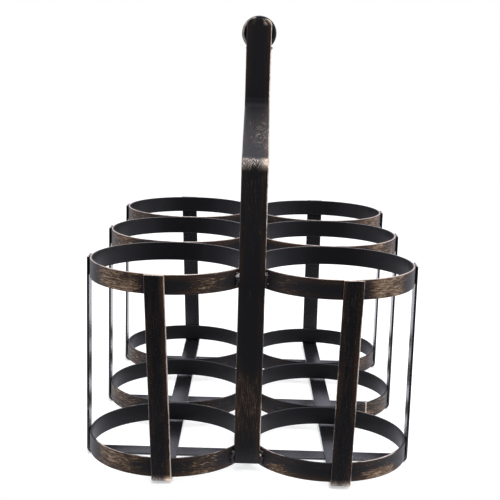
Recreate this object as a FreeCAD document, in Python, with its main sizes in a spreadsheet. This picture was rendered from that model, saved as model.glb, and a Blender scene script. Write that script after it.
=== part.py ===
import FreeCAD, Part
import math
import os

import Sketcher

# Six-bottle caddy welded from flat iron strip: two columns of three cups along Y.
# Origin at the middle of the footprint on the table, +Z up, front towards -Y. Millimetres.

doc = FreeCAD.newDocument("bottle_caddy")
sheet = doc.addObject("Spreadsheet::Sheet", "sizes")

SIZES = [
    ("strip_thickness", 1.5, "strip that rings and straps are made of"),
    ("ring_outer_diameter", 100.0, "each cup's ring, over the strip"),
    ("ring_band_height", 12.0, "strip stands on edge in the rings"),
    ("ring_joint_gap", 0.2, "between two rings that are welded together"),
    ("upper_ring_top", 127.5, "top edge of the upper rings above the table"),
    ("strap_width", 12.0, "long and cross straps"),
    ("strap_seat_gap", 0.1, "between a strap's leg and the ring it is welded to"),
    ("long_strap_bend_radius", 1.0, "inside of the sharp bend at a long strap's ends"),
    ("left_front_foot_shift", 0.2, "leg's foot, outward from the cup's middle"),
    ("left_front_top_shift", 6.2, "leg's top, outward from the cup's middle"),
    ("left_rear_foot_shift", 0.2, "the same at the rear"),
    ("left_rear_top_shift", 5.2, "the same at the rear"),
    ("right_front_foot_shift", 6.0, "leg's foot, outward from the cup's middle"),
    ("right_front_top_shift", 8.7, "leg's top, outward from the cup's middle"),
    ("right_rear_foot_shift", 0.5, "the same at the rear"),
    ("right_rear_top_shift", 0.3, "the same at the rear"),
    ("upright_width", 16.0, "flat bar of the uprights"),
    ("upright_thickness", 3.0, "flat bar of the uprights"),
    ("upright_foot_height", 6.0, "lower end above the table"),
    ("upright_top_rise", 9.0, "upper end above the handle's axis"),
    ("upright_neck_length", 42.9, "centre of the crank's upper bend below the handle's axis"),
    ("upright_shoulder_rise", 33.7, "from the crank's lower bend centre to its upper one"),
    ("upright_bend_radius", 2.5, "inside of both bends of the crank"),
    ("upright_corner_radius", 4.0, "rounded corners of the upper end"),
    ("handle_length", 106.0, "tube between the uprights"),
    ("handle_diameter", 22.0, "outside of the tube"),
    ("handle_wall", 2.0, "wall of the tube"),
    ("handle_height", 264.5, "axis of the tube above the table"),
    ("handle_rim_chamfer", 0.6, "deburred outer rim at the tube's ends"),
    ("ring_weld_distance", 5.0, "middle of a bead from the line where two rings touch"),
    ("ring_weld_length", 4.0, "bead along the notch between two rings"),
    ("ring_weld_height", 9.0, "bead between two rings, along the band's height"),
    ("upright_weld_depth", 2.4, "bead up the side of an upright, from its back face"),
    ("upright_weld_height", 9.0, "bead between an upright and a ring"),
    ("handle_weld_leg", 2.5, "fillet under the end of the tube"),
    ("handle_weld_angle", 76.0, "degrees of the tube's round that the fillet follows"),
]
for row, (alias, size, note) in enumerate(SIZES, start=1):
    sheet.set(f"A{row}", alias)
    sheet.set(f"B{row}", str(size))
    sheet.setAlias(f"B{row}", alias)
    sheet.set(f"C{row}", note)
doc.recompute()

# Places that several pieces share, worked out from the sheet.
RING_RADIUS = "(sizes.ring_outer_diameter / 2)"
PITCH = "(sizes.ring_outer_diameter + sizes.ring_joint_gap)"
COLUMN_REACH = f"({PITCH} / 2)"
LONG_STRAP_TOP = "(2 * sizes.strip_thickness)"
LOWER_RING_FOOT = f"({LONG_STRAP_TOP} + sizes.long_strap_bend_radius)"
UPPER_RING_FOOT = "(sizes.upper_ring_top - sizes.ring_band_height)"
STRAP_OVERHANG = f"({RING_RADIUS} + sizes.strap_seat_gap + sizes.strip_thickness)"
UPRIGHT_SEAT = (f"({PITCH} + sqrt({RING_RADIUS}^2"
                f" - ({COLUMN_REACH} - sizes.upright_width / 2)^2))")
UPRIGHT_TOP = "(sizes.handle_height + sizes.upright_top_rise)"
UPPER_BEND_HEIGHT = "(sizes.handle_height - sizes.upright_neck_length)"
LOWER_BEND_HEIGHT = f"({UPPER_BEND_HEIGHT} - sizes.upright_shoulder_rise)"
HANDLE_REACH = "(sizes.handle_length / 2)"
HANDLE_RADIUS = "(sizes.handle_diameter / 2)"
QUARTER_TURN = 90.0
HALF_TURN = 180.0

COLUMNS = {"left": -1, "right": 1}
ROWS = {"front": -1, "middle": 0, "rear": 1}
LEVELS = {"upper": UPPER_RING_FOOT, "lower": LOWER_RING_FOOT}

# How a sketch counts the points of a line or an arc, and names its own origin.
POINT_OF = {word: count for count, word in enumerate(("edge", "start", "end", "centre"))}
ORIGIN_POINT = (-1, POINT_OF["start"])
UP = FreeCAD.Vector(0, 0, 1)

nodes = []


def number(expression):
    return float(sheet.evalExpression(expression))


def new_body(label):
    body = doc.addObject("PartDesign::Body", label)
    body.Label = label
    nodes.append(body)
    return body


def new_sketch(body, plane_role, name, lift="0", raise_by="0"):
    """A sketch on one of the body's own planes, lifted off it and moved up in it."""
    sketch = body.newObject("Sketcher::SketchObject", name)
    plane = next(f for f in body.Origin.OriginFeatures if f.Role == plane_role)
    sketch.AttachmentSupport = [(plane, "")]
    sketch.MapMode = "FlatFace"
    sketch.setExpression("AttachmentOffset.Base.y", raise_by)
    sketch.setExpression("AttachmentOffset.Base.z", lift)
    return sketch


def drive(sketch, constraint, name, expression):
    index = sketch.addConstraint(constraint)
    sketch.renameConstraint(index, name)
    sketch.setExpression(f"Constraints.{name}", expression)


def drive_point(sketch, geometry, position, name, x, y):
    """Ties a point to the sketch's origin with two expressions."""
    for kind, way, expression in (("DistanceX", "x", x), ("DistanceY", "y", y)):
        constraint = Sketcher.Constraint(kind, *ORIGIN_POINT, geometry, position, number(expression))
        drive(sketch, constraint, f"{name}_{way}", expression)


def outline(sketch, corners, arcs=None):
    """A closed outline through corners given as pairs of expressions. arcs maps the side that
    starts at a corner to the centre of its round, and RING_RADIUS is that round's radius."""
    arcs = arcs or {}
    points = [FreeCAD.Vector(number(x), number(y), 0) for x, y in corners]
    sides = []
    for i, start in enumerate(points):
        end = points[(i + 1) % len(points)]
        if i in arcs:
            middle = FreeCAD.Vector(*[number(part) for part in arcs[i]], 0)
            bulge = ((start + end) * 0.5 - middle).normalize() * number(RING_RADIUS) + middle
            side = Part.Arc(start, bulge, end)
        else:
            side = Part.LineSegment(start, end)
        sides.append(sketch.addGeometry(side))
    ends = []
    for i, side in enumerate(sides):
        first, last = POINT_OF["start"], POINT_OF["end"]
        turned = (sketch.getPoint(side, first).distanceToPoint(points[i])
                  > sketch.getPoint(side, last).distanceToPoint(points[i]))
        ends.append((last, first) if turned else (first, last))
    for i, side in enumerate(sides):
        following = (i + 1) % len(sides)
        joint = (side, ends[i][1], sides[following], ends[following][0])
        sketch.addConstraint(Sketcher.Constraint("Coincident", *joint))
        drive_point(sketch, side, ends[i][0], f"corner{i}", *corners[i])
        if i in arcs:
            radius = Sketcher.Constraint("Radius", side, number(RING_RADIUS))
            drive(sketch, radius, f"round{i}", RING_RADIUS)


def pad(body, sketch, name, length, symmetric=False, backwards=False):
    feature = body.newObject("PartDesign::Pad", name)
    feature.Profile = sketch
    feature.SideType = "Symmetric" if symmetric else "One side"
    feature.Reversed = backwards
    feature.setExpression("Length", length)
    return feature


def place(body, x="0", y="0", z="0", turn=0):
    body.Placement = FreeCAD.Placement(FreeCAD.Vector(), FreeCAD.Rotation(UP, turn))
    for way, expression in (("x", x), ("y", y), ("z", z)):
        body.setExpression(f"Placement.Base.{way}", expression)


def round_tube(body, plane_role, name, outer_radius, wall):
    """Two circles round the sketch's origin: the section of a ring or a tube."""
    sketch = new_sketch(body, plane_role, name)
    for circle, radius in (("outer", outer_radius), ("inner", f"{outer_radius} - {wall}")):
        shape = Part.Circle(FreeCAD.Vector(), UP, number(radius))
        index = sketch.addGeometry(shape)
        sketch.addConstraint(Sketcher.Constraint("Coincident", index, POINT_OF["centre"], *ORIGIN_POINT))
        drive(sketch, Sketcher.Constraint("Radius", index, number(radius)), circle, radius)
    return sketch


# Rings: strip rolled on edge, one at the shoulder and one at the foot of each bottle.
def ring(level, row, column):
    body = new_body(f"{level}_ring_{row}_{column}")
    section = round_tube(body, "XY_Plane", f"{body.Name}_section", RING_RADIUS, "sizes.strip_thickness")
    pad(body, section, f"{body.Name}_band", "sizes.ring_band_height")
    place(body, f"{COLUMNS[column]} * {COLUMN_REACH}", f"{ROWS[row]} * {PITCH}", LEVELS[level])


# Straps: strip laid under a line of cups and turned up at both ends to the upper rings.
# A strap runs along its own x, and each leg may lean across the strip, along its own y.
def strap(label, half_run, underside, inside_radius, foot_shifts, top_shifts):
    body = new_body(label)
    half_width = "sizes.strap_width / 2"
    bend = f"({inside_radius} + sizes.strip_thickness)"
    run_end = f"({half_run} - {bend})"

    run = new_sketch(body, "XY_Plane", f"{label}_run_outline", lift=underside)
    outline(run, [
        (f"-{run_end}", f"{foot_shifts[0]} - {half_width}"),
        (run_end, f"{foot_shifts[1]} - {half_width}"),
        (run_end, f"{foot_shifts[1]} + {half_width}"),
        (f"-{run_end}", f"{foot_shifts[0]} + {half_width}"),
    ])
    pad(body, run, f"{label}_run", "sizes.strip_thickness")

    for end, sign in ((0, -1), (1, 1)):
        foot, top = foot_shifts[end], top_shifts[end]
        bend_section = new_sketch(body, "YZ_Plane", f"{label}_bend_section{end}",
                                  lift=f"{sign} * {run_end}", raise_by=f"{underside} + {bend}")
        outline(bend_section, [
            (f"{foot} - {half_width}", f"-{bend}"),
            (f"{foot} + {half_width}", f"-{bend}"),
            (f"{foot} + {half_width}", f"-{inside_radius}"),
            (f"{foot} - {half_width}", f"-{inside_radius}"),
        ])
        turn = body.newObject("PartDesign::Revolution", f"{label}_bend{end}")
        turn.Profile = bend_section
        turn.ReferenceAxis = (bend_section, ["H_Axis"])
        turn.Angle = QUARTER_TURN
        turn.Reversed = sign > 0

        leg = new_sketch(body, "YZ_Plane", f"{label}_leg_outline{end}", lift=f"{sign} * {half_run}")
        leg_foot = f"{underside} + {bend}"
        outline(leg, [
            (f"{foot} - {half_width}", leg_foot),
            (f"{foot} + {half_width}", leg_foot),
            (f"{top} + {half_width}", "sizes.upper_ring_top"),
            (f"{top} - {half_width}", "sizes.upper_ring_top"),
        ])
        pad(body, leg, f"{label}_leg{end}", "sizes.strip_thickness", backwards=sign > 0)
    return body


def long_strap(column):
    # Turned a quarter about Z, its own y points to the left of the caddy.
    outward = -COLUMNS[column]
    shifts = [[f"({outward} * sizes.{column}_{end}_{where}_shift)" for end in ("front", "rear")]
              for where in ("foot", "top")]
    body = strap(f"long_strap_{column}", f"({PITCH} + {STRAP_OVERHANG})", "sizes.strip_thickness",
                 "sizes.long_strap_bend_radius", *shifts)
    place(body, x=f"{COLUMNS[column]} * {COLUMN_REACH}", turn=QUARTER_TURN)


def cross_strap(row):
    # It lies lowest, and its bend ends level with the lower ring's bottom edge.
    straight = ["0", "0"]
    body = strap(f"cross_strap_{row}", f"({COLUMN_REACH} + {STRAP_OVERHANG})", "0",
                 f"({LOWER_RING_FOOT} - sizes.strip_thickness)", straight, straight)
    place(body, y=f"{ROWS[row]} * {PITCH}")


# Uprights: flat bar seated in the notch between two end rings, cranked inward to the handle.
def crank_outline(sketch):
    """The bar's side view: its straight stretches are tangent to concentric bends."""
    thick = number("sizes.upright_thickness")
    inside = number("sizes.upright_bend_radius")
    outside = inside + thick
    seat = number(UPRIGHT_SEAT)
    grip = number(HANDLE_REACH)
    foot = number("sizes.upright_foot_height")
    top = number(UPRIGHT_TOP)
    low = FreeCAD.Vector(seat - inside, number(LOWER_BEND_HEIGHT), 0)
    high = FreeCAD.Vector(grip + outside, number(UPPER_BEND_HEIGHT), 0)

    # The slanted stretch is the inner common tangent of the two bends.
    between = high - low
    lean = math.atan2(between.y, between.x) + math.acos((inside + outside) / between.Length)
    if lean > math.pi / 2:
        lean = math.atan2(between.y, between.x) - math.acos((inside + outside) / between.Length)
    outward = FreeCAD.Vector(math.cos(lean), math.sin(lean), 0)

    def bend(centre, radius, first, last):
        return Part.ArcOfCircle(Part.Circle(centre, UP, radius), first, last)

    def line(x1, y1, x2, y2):
        return Part.LineSegment(FreeCAD.Vector(x1, y1, 0), FreeCAD.Vector(x2, y2, 0))

    low_out, low_in = low + outward * outside, low + outward * inside
    high_out, high_in = high - outward * inside, high - outward * outside
    shapes = {
        "outer_leg": line(seat + thick, foot, seat + thick, low.y),
        "low_outer_bend": bend(low, outside, 0, lean),
        "outer_slant": line(low_out.x, low_out.y, high_out.x, high_out.y),
        "high_outer_bend": bend(high, inside, math.pi, math.pi + lean),
        "outer_neck": line(grip + thick, high.y, grip + thick, top),
        "top_end": line(grip + thick, top, grip, top),
        "inner_neck": line(grip, top, grip, high.y),
        "high_inner_bend": bend(high, outside, math.pi, math.pi + lean),
        "inner_slant": line(high_in.x, high_in.y, low_in.x, low_in.y),
        "low_inner_bend": bend(low, inside, 0, lean),
        "inner_leg": line(seat, low.y, seat, foot),
        "foot_end": line(seat, foot, seat + thick, foot),
    }
    part = {name: sketch.addGeometry(shape) for name, shape in shapes.items()}

    def tie(kind, first, first_end, second, second_end):
        places = (part[first], POINT_OF[first_end], part[second], POINT_OF[second_end])
        sketch.addConstraint(Sketcher.Constraint(kind, *places))

    tie("Tangent", "outer_leg", "end", "low_outer_bend", "start")
    tie("Tangent", "low_outer_bend", "end", "outer_slant", "start")
    tie("Tangent", "outer_slant", "end", "high_outer_bend", "end")
    tie("Tangent", "high_outer_bend", "start", "outer_neck", "start")
    tie("Coincident", "outer_neck", "end", "top_end", "start")
    tie("Coincident", "top_end", "end", "inner_neck", "start")
    tie("Tangent", "inner_neck", "end", "high_inner_bend", "start")
    tie("Tangent", "high_inner_bend", "end", "inner_slant", "start")
    tie("Tangent", "inner_slant", "end", "low_inner_bend", "end")
    tie("Tangent", "low_inner_bend", "start", "inner_leg", "start")
    tie("Coincident", "inner_leg", "end", "foot_end", "start")
    tie("Coincident", "foot_end", "end", "outer_leg", "start")
    tie("Coincident", "low_outer_bend", "centre", "low_inner_bend", "centre")
    tie("Coincident", "high_outer_bend", "centre", "high_inner_bend", "centre")
    for name in ("outer_leg", "inner_leg", "outer_neck", "inner_neck"):
        sketch.addConstraint(Sketcher.Constraint("Vertical", part[name]))
    for name in ("top_end", "foot_end"):
        sketch.addConstraint(Sketcher.Constraint("Horizontal", part[name]))

    def span(name, kind, first, first_end, second, second_end, expression):
        places = (part[first], POINT_OF[first_end], part[second], POINT_OF[second_end])
        drive(sketch, Sketcher.Constraint(kind, *places, number(expression)), name, expression)

    def reach(name, kind, which, end, expression):
        places = (*ORIGIN_POINT, part[which], POINT_OF[end])
        drive(sketch, Sketcher.Constraint(kind, *places, number(expression)), name, expression)

    span("leg_thickness", "DistanceX", "foot_end", "start", "foot_end", "end", "sizes.upright_thickness")
    span("neck_thickness", "DistanceX", "top_end", "end", "top_end", "start", "sizes.upright_thickness")
    reach("seat", "DistanceX", "foot_end", "start", UPRIGHT_SEAT)
    reach("grip", "DistanceX", "top_end", "end", HANDLE_REACH)
    reach("foot", "DistanceY", "foot_end", "start", "sizes.upright_foot_height")
    reach("top", "DistanceY", "top_end", "end", UPRIGHT_TOP)
    reach("low_bend", "DistanceY", "low_inner_bend", "centre", LOWER_BEND_HEIGHT)
    reach("high_bend", "DistanceY", "high_inner_bend", "centre", UPPER_BEND_HEIGHT)
    for name in ("low_inner_bend", "high_outer_bend"):
        radius = Sketcher.Constraint("Radius", part[name], inside)
        drive(sketch, radius, f"{name}_radius", "sizes.upright_bend_radius")


def upright(end):
    body = new_body(f"upright_{end}")
    side_view = new_sketch(body, "YZ_Plane", f"{body.Name}_side_view")
    crank_outline(side_view)
    bar = pad(body, side_view, f"{body.Name}_bar", "sizes.upright_width", symmetric=True)
    doc.recompute()
    top = number(UPRIGHT_TOP)
    corners = [f"Edge{i}" for i, edge in enumerate(bar.Shape.Edges, start=1)
               if all(math.isclose(v.Z, top) for v in edge.Vertexes)
               and math.isclose(edge.Length, number("sizes.upright_thickness"))]
    rounding = body.newObject("PartDesign::Fillet", f"{body.Name}_corners")
    rounding.Base = (bar, corners)
    rounding.setExpression("Radius", "sizes.upright_corner_radius")
    place(body, turn=0 if ROWS[end] > 0 else HALF_TURN)


# Handle: a tube whose ends butt against the uprights, wider than they are.
def handle():
    body = new_body("handle_tube")
    section = round_tube(body, "XZ_Plane", "handle_section", HANDLE_RADIUS, "sizes.handle_wall")
    tube = pad(body, section, "handle_wall", "sizes.handle_length", symmetric=True)
    doc.recompute()
    rim_length = 2 * math.pi * number(HANDLE_RADIUS)
    rims = [f"Edge{i}" for i, edge in enumerate(tube.Shape.Edges, start=1)
            if edge.isClosed() and math.isclose(edge.Length, rim_length)]
    deburring = body.newObject("PartDesign::Chamfer", "handle_rims")
    deburring.Base = (tube, rims)
    deburring.setExpression("Size", "sizes.handle_rim_chamfer")
    place(body, z="sizes.handle_height")


# Welds between rings: a bead in the notch on both sides of where two rings touch. Its faces
# are tangent to the rings at its middle.
def ring_welds(level):
    body = new_body(f"ring_welds_{level}")
    lift = f"{LEVELS[level]} + (sizes.ring_band_height - sizes.ring_weld_height) / 2"
    ring_depth = f"sqrt({RING_RADIUS}^2 - sizes.ring_weld_distance^2)"
    flare = f"sizes.ring_weld_length / 2 * sizes.ring_weld_distance / {ring_depth}"
    narrow = f"({COLUMN_REACH} - {ring_depth} - {flare})"
    wide = f"({COLUMN_REACH} - {ring_depth} + {flare})"
    near = "(sizes.ring_weld_distance - sizes.ring_weld_length / 2)"
    far = "(sizes.ring_weld_distance + sizes.ring_weld_length / 2)"
    side_by_side = [("0", f"{row} * {PITCH}") for row in ROWS.values()]
    one_behind_other = [(f"{column} * {COLUMN_REACH}", f"{way} * {PITCH} / 2")
                        for column in COLUMNS.values() for way in (-1, 1)]
    for index, (x, y) in enumerate(side_by_side + one_behind_other):
        for way in (-1, 1):

            def spot(to_ring, along_notch):
                if (x, y) in side_by_side:
                    return f"{x} + {to_ring}", f"{y} + {way} * {along_notch}"
                return f"{x} + {way} * {along_notch}", f"{y} + {to_ring}"

            name = f"{body.Name}_bead{index}_{'back' if way < 0 else 'front'}"
            bead = new_sketch(body, "XY_Plane", f"{name}_outline", lift=lift)
            outline(bead, [spot(narrow, near), spot(wide, far),
                           spot(f"-{wide}", far), spot(f"-{narrow}", near)])
            pad(body, bead, name, "sizes.ring_weld_height")


# Welds between an upright's sides and the rings that bulge forward past it.
def upright_welds():
    body = new_body("upright_welds")
    front_face = f"({UPRIGHT_SEAT} + sizes.upright_weld_depth)"
    ring_side = f"({COLUMN_REACH} - sqrt({RING_RADIUS}^2 - ({front_face} - {PITCH})^2))"
    for level, ring_foot in LEVELS.items():
        lift = f"{ring_foot} + (sizes.ring_band_height - sizes.upright_weld_height) / 2"
        for end in ("front", "rear"):
            for column, side in COLUMNS.items():
                name = f"weld_{level}_{end}_{column}"
                bead = new_sketch(body, "XY_Plane", f"{name}_outline", lift=lift)
                edge = f"{side} * sizes.upright_width / 2"
                outline(bead, [
                    (edge, f"{ROWS[end]} * {UPRIGHT_SEAT}"),
                    (edge, f"{ROWS[end]} * {front_face}"),
                    (f"{side} * {ring_side}", f"{ROWS[end]} * {front_face}"),
                ], arcs={2: (f"{side} * {COLUMN_REACH}", f"{ROWS[end]} * {PITCH}")})
                pad(body, bead, name, "sizes.upright_weld_height")


# Welds under the handle's ends: a fillet that follows the tube's round.
def handle_welds():
    body = new_body("handle_welds")
    for end in ("front", "rear"):
        side = ROWS[end]
        fillet = new_sketch(body, "YZ_Plane", f"handle_weld_outline_{end}", raise_by="sizes.handle_height")
        outline(fillet, [
            (f"{side} * {HANDLE_REACH}", f"-{HANDLE_RADIUS}"),
            (f"{side} * ({HANDLE_REACH} - sizes.handle_weld_leg)", f"-{HANDLE_RADIUS}"),
            (f"{side} * {HANDLE_REACH}", f"-{HANDLE_RADIUS} - sizes.handle_weld_leg"),
        ])
        bead = body.newObject("PartDesign::Revolution", f"handle_weld_{end}")
        bead.Profile = fillet
        bead.ReferenceAxis = (fillet, ["H_Axis"])
        bead.Midplane = True
        bead.setExpression("Angle", "sizes.handle_weld_angle")


for level in LEVELS:
    for row in ROWS:
        for column in COLUMNS:
            ring(level, row, column)
for column in COLUMNS:
    long_strap(column)
for row in ROWS:
    cross_strap(row)
for end in ("front", "rear"):
    upright(end)
handle()
for level in LEVELS:
    ring_welds(level)
upright_welds()
handle_welds()
doc.recompute()

failed = [thing.Name for thing in doc.Objects if {"Invalid", "Error"} & set(thing.State)]
failed += [body.Label for body in nodes if body.Shape.isNull() or not body.Shape.isValid()]
if failed:
    raise RuntimeError(f"not built: {failed}")

os.makedirs("parts", exist_ok=True)
for body in nodes:
    body.Shape.exportStep(f"parts/{body.Label}.step")
    print(body.Label, "solids", len(body.Shape.Solids), "volume", round(body.Shape.Volume, 1))
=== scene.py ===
import math

import bpy
import bmesh
from mathutils import Matrix, Vector


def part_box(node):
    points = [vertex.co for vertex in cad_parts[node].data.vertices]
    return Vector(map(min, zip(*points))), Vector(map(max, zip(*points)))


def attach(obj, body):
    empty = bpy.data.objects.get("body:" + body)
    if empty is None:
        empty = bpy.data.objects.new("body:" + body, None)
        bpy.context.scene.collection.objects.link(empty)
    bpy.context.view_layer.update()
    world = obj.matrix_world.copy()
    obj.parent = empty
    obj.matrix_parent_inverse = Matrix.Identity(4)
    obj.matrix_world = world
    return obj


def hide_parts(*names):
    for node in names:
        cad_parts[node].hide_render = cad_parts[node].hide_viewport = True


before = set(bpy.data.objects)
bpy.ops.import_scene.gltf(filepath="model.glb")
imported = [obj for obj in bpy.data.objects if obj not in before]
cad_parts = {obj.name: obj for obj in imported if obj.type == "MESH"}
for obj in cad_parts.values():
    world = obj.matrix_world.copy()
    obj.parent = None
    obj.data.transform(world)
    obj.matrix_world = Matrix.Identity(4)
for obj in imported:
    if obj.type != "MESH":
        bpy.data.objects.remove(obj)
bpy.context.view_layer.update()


# Cross straps: three pieces of flat iron strip, one under each row of two cups, bent up at both
# sides to the top of the upper rings. Painted black, then stroked along with a nearly dry brush
# of bronze, which catches on the faces that look outward. The upward cut ends are painted copper,
# partly as wear and partly as a painted highlight of the light from above.
def cad_span(node, axis):
    """Where a CAD node begins and ends along X, Y or Z, to a hundredth of a millimetre."""
    return [round(corner["XYZ".index(axis)], 5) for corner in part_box(node)]


def cad_middle(node, axis):
    return round(sum(cad_span(node, axis)) / 2, 5)


strip_width, strip_thickness = 0.012, 0.0015
row_places = {row: cad_middle(f"cross_strap_{row}", "Y") for row in ("front", "middle", "rear")}
cross_reach = cad_span("cross_strap_front", "X")[1] - strip_thickness / 2
cross_height = cad_span("cross_strap_front", "Z")[0] + strip_thickness / 2
strap_top = cad_span("cross_strap_front", "Z")[1]


def add_node(tree, kind, feeds, **settings):
    """A node with its settings, fed by other nodes' sockets or by plain values. Gives its outputs."""
    node = tree.nodes.new(kind)
    for name, value in settings.items():
        setattr(node, name, value)
    for socket, feed in feeds.items():
        if isinstance(feed, bpy.types.NodeSocket):
            tree.links.new(feed, node.inputs[socket])
        else:
            node.inputs[socket].default_value = feed
    return node.outputs


def reckon(tree, operation, *terms):
    return add_node(tree, "ShaderNodeMath", dict(enumerate(terms)), operation=operation)[0]


def product(tree, *terms):
    total = terms[0]
    for term in terms[1:]:
        total = reckon(tree, "MULTIPLY", total, term)
    return total


def work_on_vectors(tree, operation, *terms):
    return add_node(tree, "ShaderNodeVectorMath", dict(enumerate(terms)), operation=operation)


def fade(tree, value, none_at, full_at):
    """Rises softly from 0 at one value to 1 at another, which may be the smaller."""
    return add_node(tree, "ShaderNodeMapRange",
                    {"Value": value, "From Min": none_at, "From Max": full_at},
                    interpolation_type="SMOOTHSTEP")[0]


def between(tree, share, first, last):
    return add_node(tree, "ShaderNodeMix", {0: share, 2: first, 3: last}, data_type="FLOAT")[0]


def zone(tree, value, starts, feather):
    """1 from one place to another and 0 outside, given where its two soft ends start."""
    begun, ended = [fade(tree, value, start, reckon(tree, "ADD", start, feather)) for start in starts]
    return reckon(tree, "SUBTRACT", begun, ended)


def start_tree(name, **inputs):
    """A Geometry Nodes tree with named inputs, listed by their kind of socket."""
    tree = bpy.data.node_groups.new(name, "GeometryNodeTree")
    tree.interface.new_socket("Geometry", in_out="INPUT", socket_type="NodeSocketGeometry")
    for kind, labels in inputs.items():
        for label in labels:
            tree.interface.new_socket(label, in_out="INPUT", socket_type=f"NodeSocket{kind}")
    tree.interface.new_socket("Geometry", in_out="OUTPUT", socket_type="NodeSocketGeometry")
    return tree, tree.nodes.new("NodeGroupInput").outputs


def note_on(tree, shape, notes):
    """Writes named numbers on each point of a shape, for the paint to read."""
    for name, value in notes.items():
        shape = add_node(tree, "GeometryNodeStoreNamedAttribute",
                         {"Geometry": shape, "Name": name, "Value": value},
                         data_type="FLOAT", domain="POINT")[0]
    return shape


def noted(tree, name):
    return add_node(tree, "GeometryNodeInputNamedAttribute", {"Name": name}, data_type="FLOAT")[0]


def here(tree):
    """The place of each point, split into its three ways."""
    place = add_node(tree, "GeometryNodeInputPosition", {})[0]
    return add_node(tree, "ShaderNodeSeparateXYZ", {0: place})


def round_corners(tree, line, radius, steps):
    return add_node(tree, "GeometryNodeFilletCurve", {
        "Curve": line, "Count": steps, "Radius": radius, "Limit Radius": True}, mode="POLY")[0]


def strip_section(tree, sizes):
    """The strip's section, with flat faces and with edges rounded by the rolling mill."""
    outline = add_node(tree, "GeometryNodeCurvePrimitiveQuadrilateral",
                       {"Width": sizes["Strip width"], "Height": sizes["Strip thickness"]})[0]
    return round_corners(tree, outline, sizes["Edge radius"], steps=3)


def sweep(tree, line, section, across):
    """Carries a section along a line, with the section's own X always laid across."""
    facing = add_node(tree, "GeometryNodeSetCurveNormal",
                      {"Curve": line, "Normal": across}, mode="FREE")[0]
    swept = add_node(tree, "GeometryNodeCurveToMesh",
                     {"Curve": facing, "Profile Curve": section, "Fill Caps": True})[0]
    return add_node(tree, "GeometryNodeSetShadeSmooth", {0: swept})[0]


def roll_strip(tree, sizes, line):
    """A strip along a line, with its section's places and each edge's wear noted for the paint."""
    spot = here(tree)
    edge_wear = between(tree, reckon(tree, "GREATER_THAN", spot["X"], 0.0),
                        sizes["Wear at minus edge"], sizes["Wear at plus edge"])
    section = note_on(tree, strip_section(tree, sizes),
                      {"across": spot["X"], "depth": spot["Y"], "wear": edge_wear})
    return sweep(tree, line, section, sizes["Across"])


def line_length(tree):
    """How far along its line each point lies, and how long the whole line is."""
    along = add_node(tree, "GeometryNodeSplineParameter", {})["Length"]
    return along, add_node(tree, "GeometryNodeSplineLength", {})["Length"]


def close_tree(tree, shape, finish):
    whole = add_node(tree, "GeometryNodeRealizeInstances", {0: shape})[0]
    finished = add_node(tree, "GeometryNodeSetMaterial", {"Geometry": whole, "Material": finish})[0]
    add_node(tree, "NodeGroupOutput", {0: finished})


strokes = ("First stroke", "Second stroke", "Third stroke")
bent_strip, bent = start_tree("bent_strip", Vector=["Across"], Material=["Finish"], Float=[
    "Strip width", "Strip thickness", "Edge radius", "Bend radius", "Tip corner radius",
    "Wear at plus edge", "Wear at minus edge", "Wear and highlight at tips", "Corner wear",
    "Scuffed from", "Scuffed to", "Batch",
    *(f"{stroke} {value}" for stroke in strokes for value in ("from", "to", "load"))])


def neighbour(value, steps):
    """A value read from a point further along the strip's line."""
    number = add_node(bent_strip, "GeometryNodeInputIndex", {})[0]
    return add_node(bent_strip, "GeometryNodeFieldAtIndex",
                    {"Value": value, "Index": reckon(bent_strip, "ADD", number, steps)},
                    data_type="FLOAT_VECTOR", domain="POINT")[0]


def divide_line(line, cuts):
    return add_node(bent_strip, "GeometryNodeSubdivideCurve", {"Curve": line, "Cuts": cuts})[0]


# The line is cut into short steps, to carry fine notes, and into shorter ones at a rounded tip.
shortest_cut, most_cuts = 0.0012, 220.0
fine_cuts, fine_reach_share = 3.0, 1.3
line = add_node(bent_strip, "GeometryNodeMeshToCurve", {0: bent["Geometry"]})[0]
line = round_corners(bent_strip, line, bent["Bend radius"], steps=10)
place = add_node(bent_strip, "GeometryNodeInputPosition", {})[0]
stretch = work_on_vectors(bent_strip, "DISTANCE", place, neighbour(place, 1.0))["Value"]
cuts = reckon(bent_strip, "DIVIDE", stretch, shortest_cut)
line = divide_line(line, reckon(bent_strip, "MINIMUM", cuts, most_cuts))
along, whole_length = line_length(bent_strip)
to_tip = reckon(bent_strip, "SUBTRACT", whole_length, along)
fine_reach = reckon(bent_strip, "MULTIPLY", bent["Tip corner radius"], fine_reach_share)
at_tip = reckon(bent_strip, "LESS_THAN", to_tip, fine_reach)
line = divide_line(line, reckon(bent_strip, "MULTIPLY", at_tip, fine_cuts))

# A bend is noted as 1 if the strip's outer face is on its outside, and as -1 if it is on its inside.
full_swing = 0.12
heading = add_node(bent_strip, "GeometryNodeInputTangent", {})[0]
swing = work_on_vectors(bent_strip, "SUBTRACT", neighbour(heading, -1.0), neighbour(heading, 1.0))[0]
outward = work_on_vectors(bent_strip, "CROSS_PRODUCT", heading, bent["Across"])[0]
turning = work_on_vectors(bent_strip, "DOT_PRODUCT", swing, outward)["Value"]
turning = add_node(bent_strip, "ShaderNodeMapRange", {
    "Value": turning, "From Min": -full_swing, "From Max": full_swing, "To Min": -1.0})[0]
turning = add_node(bent_strip, "GeometryNodeBlurAttribute", {"Value": turning, "Iterations": 3})[0]

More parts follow.
